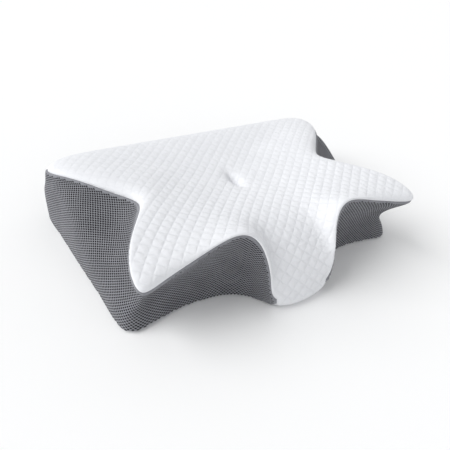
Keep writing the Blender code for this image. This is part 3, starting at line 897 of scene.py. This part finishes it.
OUTSIDE = 0.5            # a place well behind the pillow, from where its back wall is sought
ZIP_MIDDLE = ZIP_Z * MM
COIL_PITCH = 0.0020
COIL_THREAD = 0.00034    # radius of the nylon thread
COIL_HEAD = 0.00085      # the heads' distance from the zip's middle line, clear of the slider's post
COIL_TAIL = 0.0030       # the loops' far ends
TAPE_COLUMNS = 120
TAPE_THICK = 0.0006
TAPE_WAVER = 0.00006     # slight unevenness of the woven tape
TAPE_TUCK = 0.0016       # how far the tape's outer edge runs on under the cover
TAPE_LEVELS = ((0.0006, -0.0002), (0.0010, 0.0), (0.0032, 0.0), (0.0038, -0.0001))  # height, rise
TAPE_EDGE_RISE = -0.00015
STITCH_LENGTH = 0.0023
STITCH_PITCH = 0.0031
STITCH_RADIUS = 0.00023
STITCH_BOW = 0.0004
STITCH_ON_TAPE = 0.0041  # height of the row that holds the coil to its tape
STITCH_ON_COVER = 0.0102  # and of the row that holds the cover's folded edge to the tape


def make_coil(which, sign, front_y, back_y):
    """One row of nylon loops, each going round from the tape to its head and back."""
    low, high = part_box("zip_coil_" + which)
    phase = 0.0 if sign > 0 else COIL_PITCH / 2
    middle_y = (back_y + front_y) / 2
    loop = np.array([
        (0.0, back_y, COIL_TAIL), (0.00005, back_y, 0.0018), (0.0001, back_y, COIL_HEAD),
        (0.0003, middle_y, COIL_HEAD - 0.0002), (0.0005, front_y, COIL_HEAD), (0.0006, front_y, 0.0018),
        (0.0008, front_y, COIL_TAIL - 0.0003), (0.0012, middle_y, COIL_TAIL), (0.0018, back_y + 0.0001, COIL_TAIL)])
    loop[:, 2] *= sign
    thick = COIL_THREAD * np.array([1, 1, 1.1, 1.25, 1.1, 1, 1, 0.9, 0.9])
    turns = np.arange(low.x + phase + 0.0005, high.x - COIL_PITCH, COIL_PITCH)
    loops = repeated(*sweep(loop, thick), [(x, 0.0, ZIP_MIDDLE) for x in turns])
    coil = finish_mesh("zip_coil_loops_" + which, *loops, NYLON, "zip_nylon")
    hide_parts("zip_coil_" + which)


def make_tape(which, sign, low, high):
    """A flat woven strip whose outer edge is tucked under the cover."""
    levels = [(ZIP_MIDDLE + sign * height, rise) for height, rise in TAPE_LEVELS]
    levels.append(((high.z if sign > 0 else low.z) + sign * TAPE_TUCK, TAPE_EDGE_RISE))
    front = [(x, high.y + rise + TAPE_WAVER * math.sin(i * 1.7 + k), z)
             for i, x in enumerate(np.linspace(low.x, high.x, TAPE_COLUMNS))
             for k, (z, rise) in enumerate(levels)]
    strip = closed_strip(front, len(levels), TAPE_THICK, flip=sign < 0)
    tape = finish_mesh("zip_tape_woven_" + which, *strip, TAPE, "zip_tape")
    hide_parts("zip_tape_" + which)


def make_stitches(which, sign, low, high):
    """Two rows of stitches: one on the tape beside the coil, one through the cover's folded edge."""
    dash = np.array([(t * STITCH_LENGTH, STITCH_BOW * math.sin(t * math.pi), 0.0) for t in np.linspace(0, 1, 5)])
    starts = np.arange(low.x + 0.004, high.x - 0.006, STITCH_PITCH)
    on_tape = ZIP_MIDDLE + sign * STITCH_ON_TAPE
    on_cover = ZIP_MIDDLE + sign * STITCH_ON_COVER
    places = [(x, high.y + 0.00005, on_tape) for x in starts]
    places += [(x, cover_face(x + STITCH_LENGTH / 2, on_cover) + 0.0001, on_cover) for x in starts]
    finish_mesh("zip_stitches_" + which, *repeated(*sweep(dash, STITCH_RADIUS, 5), places), THREAD, "")


coil_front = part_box("zip_coil_upper")[1].y - COIL_THREAD
coil_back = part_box("zip_tape_upper")[1].y + COIL_THREAD
for which, sign in (("upper", 1), ("lower", -1)):
    tape_low, tape_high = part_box("zip_tape_" + which)
    make_coil(which, sign, coil_front, coil_back)
    make_tape(which, sign, tape_low, tape_high)
    make_stitches(which, sign, tape_low, tape_high)

for node in ("zip_slider", "zip_pull_tab", "zip_top_stop", "zip_bottom_stop"):
    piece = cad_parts[node]
    piece.data.materials.clear()
    piece.data.materials.append(METAL)

# ------------------------------------------------------------------ the care label
LABEL_STEPS = (24, 18)   # mesh steps across and down
LABEL_THICK = 0.00035
LABEL_RISE = 0.0006      # how far the label stands off the cover at its sewn edge
LABEL_CURL = 0.0011      # and how much more at its free edge
LABEL_RIPPLE = 0.0005


def make_label():
    """A blank satin label, sewn along its upper edge and curling away from the cover below."""
    low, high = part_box("care_label")
    across, down = LABEL_STEPS
    front = []
    for j in range(down + 1):
        for i in range(across + 1):
            s = i / across
            t = j / down
            x = low.x + (high.x - low.x) * s
            z = high.z + (low.z - high.z) * t
            rise = LABEL_RISE + LABEL_CURL * t * t + LABEL_RIPPLE * math.sin(s * 5.0 + 1.0) * t
            front.append((x, cover_face(x, z) + rise, z))
    label = finish_mesh("care_label_satin", *closed_strip(front, across + 1, LABEL_THICK), SATIN, "label_satin")
    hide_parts("care_label")


make_label()

# ------------------------------------------------------------------ camera, lights, floor
KEY_POWER = 2.10         # a wide, soft key light from the left and a little behind
KEY_WIDTH = math.radians(50)
KEY_FROM = Vector((-0.72, 0.32, 0.66))
FLOOR_HALF = 6.0
SKY_LOW = 0.98           # brightness of the studio walls near the floor line
SKY_HIGH = 0.56          # and overhead
CAMERA_AZIMUTH = math.radians(35.53)
CAMERA_ELEVATION = math.radians(38.93)
CAMERA_ROLL = math.radians(7.74)
CAMERA_DISTANCE = 0.655
CAMERA_LENS = 32.70
CAMERA_LOOK = Vector((-0.047, -0.038 + SHIFT_Y, 0.050))

ahead = Vector((math.sin(CAMERA_AZIMUTH) * math.cos(CAMERA_ELEVATION),
                math.cos(CAMERA_AZIMUTH) * math.cos(CAMERA_ELEVATION), -math.sin(CAMERA_ELEVATION)))
level = Vector((math.cos(CAMERA_AZIMUTH), -math.sin(CAMERA_AZIMUTH), 0.0))
above = level.cross(ahead)
right = level * math.cos(CAMERA_ROLL) + above * math.sin(CAMERA_ROLL)
up = above * math.cos(CAMERA_ROLL) - level * math.sin(CAMERA_ROLL)
camera_data = bpy.data.cameras.new("camera")
camera_data.lens = CAMERA_LENS
camera_data.sensor_width = 36.0
camera_data.clip_start = 0.01
camera = bpy.data.objects.new("camera", camera_data)
bpy.context.scene.collection.objects.link(camera)
turn = Matrix((right, up, -ahead)).transposed()
camera.matrix_world = Matrix.Translation(CAMERA_LOOK - ahead * CAMERA_DISTANCE) @ turn.to_4x4()
bpy.context.scene.camera = camera

world = bpy.data.worlds.new("studio")
world.use_nodes = True
sky = world.node_tree
background = sky.nodes["Background"]
background.inputs["Color"].default_value = (0.98, 0.99, 1.0, 1.0)
direction = sky.nodes.new("ShaderNodeTexCoord")
split = sky.nodes.new("ShaderNodeSeparateXYZ")
sky.links.new(direction.outputs["Generated"], split.inputs["Vector"])
fall = sky.nodes.new("ShaderNodeMapRange")
fall.interpolation_type = "SMOOTHSTEP"
for socket, value in zip(("From Min", "From Max", "To Min", "To Max"), (0.16, 0.50, SKY_LOW, SKY_HIGH)):
    fall.inputs[socket].default_value = value
sky.links.new(split.outputs["Z"], fall.inputs["Value"])
sky.links.new(fall.outputs["Result"], background.inputs["Strength"])
bpy.context.scene.world = world

sun_data = bpy.data.lights.new("soft_key", "SUN")
sun_data.energy = KEY_POWER
sun_data.angle = KEY_WIDTH
sun = bpy.data.objects.new("soft_key", sun_data)
sun.rotation_euler = KEY_FROM.to_track_quat("Z", "Y").to_euler()
bpy.context.scene.collection.objects.link(sun)

floor_mesh = bpy.data.meshes.new("floor")
corners = [(x * FLOOR_HALF, y * FLOOR_HALF, 0.0) for x, y in ((-1, -1), (1, -1), (1, 1), (-1, 1))]
floor_mesh.from_pydata(corners, [], [(0, 1, 2, 3)])
floor_look = Look("pale_floor", 0.9, Specular_IOR_Level=0.1)
floor_look.shader.inputs["Base Color"].default_value = (0.98, 0.98, 0.98, 1.0)
floor_mesh.materials.append(floor_look.material)
floor = bpy.data.objects.new("floor", floor_mesh)
bpy.context.scene.collection.objects.link(floor)
bpy.context.scene.view_settings.view_transform = "Standard"
